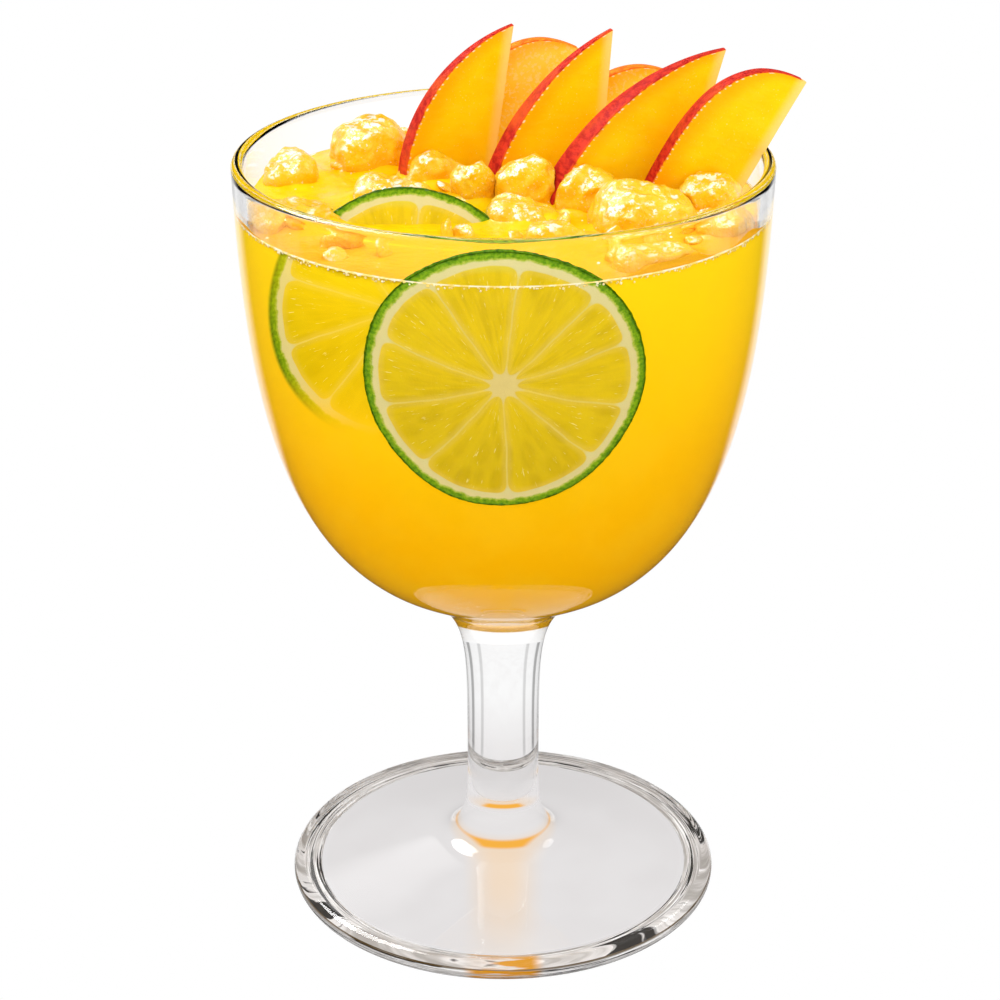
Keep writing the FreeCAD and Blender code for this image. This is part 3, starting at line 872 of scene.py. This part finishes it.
# ------------------------------------------------------------------ drink
def drink():
    na = 360
    into = 0.22
    prof = [(0.0, CAVITY_BASE_Z - into)]
    for t in np.linspace(0, 1, 70)[1:]:
        z = CAVITY_BASE_Z + (LEVEL - CAVITY_BASE_Z) * t ** 2.0
        prof.append((float(bowl_inside(z)) + into, z - into * (1 - t) ** 2))
    verts, faces = lathe(prof, na)
    n_side = len(faces)
    ang = np.linspace(0, 2 * np.pi, na, endpoint=False)
    rtop = prof[-1][0]
    radii = np.concatenate([rtop - np.array([0.1, 0.25, 0.5, 0.8, 1.2, 1.7, 2.3]), np.linspace(rtop - 3.1, 1.0, 70)])
    last = list(range(len(verts) - na, len(verts)))
    for r in radii:
        row = list(range(len(verts), len(verts) + na))
        for a in ang:
            x, y = r * math.cos(a), r * math.sin(a)
            z = LEVEL + 0.55 * math.exp(-(rtop - r) / 0.9) * 0.0
            z += 0.22 * noise.noise(Vector((x * 0.12, y * 0.12, 3.0))) + 0.10 * noise.noise(Vector((x * 0.5, y * 0.5, 9.0)))
            z -= 0.25 * (1 - math.exp(-(rtop - r) / 1.2))
            up = 0.0
            for cx, cy, sx, sy in ICE_AT:
                q = math.hypot((x - cx) / sx, (y - cy) / sy)
                gap = (q - 1.0) * min(sx, sy)
                up = max(up, math.exp(-max(gap, 0.0) / 1.7))
            z += 1.5 * up
            verts.append((x, y, z))
        for i in range(na):
            j = (i + 1) % na
            faces.append((last[i], last[j], row[j], row[i]))
        last = row
    c = len(verts); verts.append((0, 0, LEVEL))
    for i in range(na):
        faces.append((last[i], last[(i + 1) % na], c))
    idx = [0] * n_side + [1] * (len(faces) - n_side)
    ob = mesh_object("drink_fill", verts, faces, [JUICE, JUICE_TOP], mat_index=idx)
    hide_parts("drink"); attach(ob, "root")
    return ob


drink()


# ------------------------------------------------------------------ froth: beads along the glass and on the surface
def balls(name, items, mat, sub=1):
    import bmesh
    bm = bmesh.new(); bmesh.ops.create_icosphere(bm, subdivisions=sub, radius=1.0)
    base = np.array([v.co[:] for v in bm.verts]); tri = [tuple(v.index for v in f.verts) for f in bm.faces]
    bm.free()
    verts, faces = [], []
    for x, y, z, r in items:
        o = len(verts)
        verts += [(x + r * p[0], y + r * p[1], z + r * p[2]) for p in base]
        faces += [tuple(o + q for q in t) for t in tri]
    ob = mesh_object(name, verts, faces, mat)
    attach(ob, "root")
    return ob


wall_r = float(bowl_inside(LEVEL))
beads = []
for i in range(620):
    a = rng.uniform(0, 2 * math.pi)
    r = rng.uniform(0.10, 0.30)
    beads.append((math.cos(a) * (wall_r + 0.46), math.sin(a) * (wall_r + 0.46), LEVEL - 0.05 - abs(rng.normal(0, 0.35)), r))
balls("rim_beads", beads, BUBBLE)

foam = []
for i in range(520):
    k = rng.integers(0, len(ICE_AT))
    cx, cy, sx, sy = ICE_AT[k]
    a = rng.uniform(0, 2 * math.pi)
    q = 1.0 + abs(rng.normal(0, 0.22))
    x, y = cx + sx * q * math.cos(a), cy + sy * q * math.sin(a)
    if math.hypot(x, y) < wall_r - 0.6:
        foam.append((x, y, LEVEL + 0.25 * math.exp(-(q - 1) * 4), rng.uniform(0.12, 0.42)))
balls("surface_beads", foam, BUBBLE)

# thin bright line where the drink wets the glass
ring = [(wall_r + 0.52, LEVEL - 0.12), (wall_r + 0.56, LEVEL + 0.0), (wall_r + 0.50, LEVEL + 0.14), (wall_r - 0.15, LEVEL + 0.10),
        (wall_r - 0.30, LEVEL - 0.05), (wall_r + 0.0, LEVEL - 0.2), (wall_r + 0.52, LEVEL - 0.12)]
rv, rf = lathe(ring, 200)
line = mesh_object("wet_line", rv, rf, BUBBLE)
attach(line, "root")


# ------------------------------------------------------------------ stage, lights, camera
scene = bpy.context.scene
scene.view_settings.view_transform = "Standard"
scene.view_settings.look = "None"
world = bpy.data.worlds.new("studio")
scene.world = world
world.use_nodes = True
w = Nodes(world.node_tree)
bg = world.node_tree.nodes["Background"]
path = w.new("ShaderNodeLightPath").outputs
d = w.new("ShaderNodeTexCoord").outputs["Generated"]
d = w.vec("NORMALIZE", d)
dx, dy, dz = w.split(d)
flat = w.math("SQRT", w.math("ADD", w.math("MULTIPLY", dx, dx), w.math("MULTIPLY", dy, dy)))
flat = w.math("MAXIMUM", flat, 0.001)
hx = w.math("DIVIDE", dx, flat)
hy = w.math("DIVIDE", dy, flat)
ax = w.math("ABSOLUTE", hx)


def patch(direction, inner, outer, gain):
    n = Vector(direction).normalized()
    return w.math("MULTIPLY", w.ramp(w.dot(d, tuple(n)), math.cos(math.radians(outer)), math.cos(math.radians(inner))), gain)


# seen through the glass: bright, with dark cards at the two sides and in front, low down
below = w.ramp(dz, -0.16, -0.27)
stripes = w.math("SINE", w.math("ADD", w.math("MULTIPLY", dz, 46.0), w.math("MULTIPLY", hx, 9.0)))
front = w.math("MULTIPLY", w.ramp(hy, -0.62, -0.9), w.ramp(stripes, -0.25, 0.55, 0.0, 0.45))
lines = w.math("SINE", w.math("ADD", w.math("MULTIPLY", hy, 21.0), w.math("MULTIPLY", dz, 5.0)))
side = w.math("MULTIPLY", w.ramp(ax, 0.90, 0.97), w.ramp(lines, -0.5, 0.6, 0.25, 1.0))
cards = w.math("MAXIMUM", side, front)
through = w.math("SUBTRACT", 1.04, w.math("MULTIPLY", w.math("MULTIPLY", cards, below), 0.98))
through = w.math("ADD", through, w.math("MULTIPLY", w.ramp(hy, 0.8, 0.95, 0.0, 0.0), w.ramp(dz, -0.34, -0.29)))
# mirrored by surfaces: white low behind, dark elsewhere, and softboxes
mirror = w.math("MULTIPLY", w.ramp(hy, 0.80, 0.93), w.math("MULTIPLY", w.ramp(dz, 0.04, -0.14), w.ramp(dz, -0.50, -0.44)))
mirror = w.math("ADD", w.math("MULTIPLY", mirror, 0.95), 0.03)
mirror = w.math("ADD", mirror, w.ramp(dz, 0.72, 0.86, 0.0, 0.8))
mirror = w.math("ADD", mirror, patch((-0.55, 0.30, 0.80), 17, 21, 24.0))
mirror = w.math("ADD", mirror, patch((-0.115, 0.78, 0.615), 5.0, 9.0, 2.2))
mirror = w.math("ADD", mirror, patch((0.62, 0.42, 0.66), 8, 11, 6.0))
# what lights the opaque surfaces
fill = w.math("ADD", 1.30, w.math("MULTIPLY", dz, 0.16))
fill = w.math("SUBTRACT", fill, w.math("MULTIPLY", dx, 0.06))
fill = w.math("MULTIPLY", fill, w.math("ADD", 1.0, w.math("MULTIPLY", w.math("MINIMUM", path["Transmission Depth"], 1.0), 0.62)))
view = w.new("ShaderNodeMix", data_type="FLOAT")
w.put(view.inputs[0], w.math("MULTIPLY", path["Is Glossy Ray"], w.math("SUBTRACT", 1.0, path["Is Transmission Ray"]))); w.put(view.inputs[2], through); w.put(view.inputs[3], mirror)
lit = w.new("ShaderNodeMix", data_type="FLOAT")
w.put(lit.inputs[0], w.math("MINIMUM", path["Diffuse Depth"], 1.0)); w.put(lit.inputs[2], view.outputs[0]); w.put(lit.inputs[3], fill)
seen = w.new("ShaderNodeMix", data_type="FLOAT")
w.put(seen.inputs[0], path["Is Camera Ray"]); w.put(seen.inputs[2], lit.outputs[0]); seen.inputs[3].default_value = 1.0
bg.inputs["Color"].default_value = (1, 1, 1, 1)
w.link(seen.outputs[0], bg.inputs["Strength"])

# the table, seen only through the glass, with the warm light that the drink throws down
fm, k, b = material("table_light")
p = k.obj()
px, py, _ = k.split(p)
rad = k.math("SQRT", k.math("ADD", k.math("MULTIPLY", px, px), k.math("MULTIPLY", py, py)))
cloud = k.noise(p, 0.06, 2.0)
# painted shade: greyer under and around the foot, whiter further out
grey = k.mix(k.ramp(rad, 34.0, 90.0), lin(230, 227, 227), lin(252, 252, 252))
grey = k.mix(k.ramp(cloud, 0.35, 0.7, 0.0, 0.35), grey, lin(240, 238, 238))
slant = k.math("DIVIDE", py, k.math("MAXIMUM", rad, 1.0))
# painted dark streaks: the dark lines seen bent through the foot's glass edge
bars = k.math("MULTIPLY", k.ramp(k.math("ABSOLUTE", k.math("ADD", slant, 0.10)), 0.20, 0.10), k.ramp(rad, 50.0, 60.0))
bars = k.math("MAXIMUM", bars, k.math("MULTIPLY", k.ramp(k.math("ABSOLUTE", k.math("SUBTRACT", slant, 0.38)), 0.07, 0.03, 0.0, 0.45), k.ramp(rad, 50.0, 60.0)))
for at, half, dark in ((0.905, 0.022, 0.30), (0.70, 0.07, 0.62)):
    bars = k.math("MAXIMUM", bars, k.math("MULTIPLY", k.ramp(k.math("ABSOLUTE", k.math("SUBTRACT", slant, at)), half, half * 0.4, 0.0, dark), k.ramp(rad, 44.0, 52.0)))
grey = k.mix(k.math("MULTIPLY", bars, 0.93), grey, lin(20, 20, 20))
warm = k.math("MULTIPLY", k.ramp(k.math("ABSOLUTE", px), 8.5, 1.0), k.math("MULTIPLY", k.ramp(py, -46.0, -10.0), k.ramp(py, 16.0, 4.0)))
grey = k.mix(k.math("MULTIPLY", warm, 0.5), grey, lin(250, 208, 150))
# painted orange light of the drink, under the stem
root = k.math("MULTIPLY", k.ramp(k.math("ABSOLUTE", px), 3.4, 2.0), k.ramp(k.math("ABSOLUTE", k.math("SUBTRACT", py, 7.0)), 4.0, 1.5))
grey = k.mix(k.math("MULTIPLY", root, 0.9), grey, lin(250, 175, 20))
k.link(grey, b.inputs["Emission Color"])
b.inputs["Emission Strength"].default_value = 1.0
b.inputs["Base Color"].default_value = (0, 0, 0, 1)
b.inputs["Roughness"].default_value = 1.0
b.inputs["Specular IOR Level"].default_value = 0.0
ta = np.linspace(0, 2 * math.pi, 64, endpoint=False)
floor = mesh_object("floor", [(420 * math.cos(t), 420 * math.sin(t), -0.2) for t in ta], [tuple(range(64))], fm, smooth=False)
floor.visible_camera = False
floor.visible_glossy = False
floor.visible_diffuse = False
floor.visible_shadow = False

F_PX, PITCH, CAM_D, CAM_H = 2668.0, math.radians(23.78), 468.7, 288.1
cam = bpy.data.cameras.new("camera")
cam.sensor_width = 36.0
cam.lens = F_PX * 36.0 / 1000.0
cam.clip_start = 0.01
cam.clip_end = 50.0
camo = bpy.data.objects.new("camera", cam)
scene.collection.objects.link(camo)
camo.location = (-0.00062, -CAM_D * MM, CAM_H * MM)
camo.rotation_euler = (math.pi / 2 - PITCH, 0, 0)
scene.camera = camo
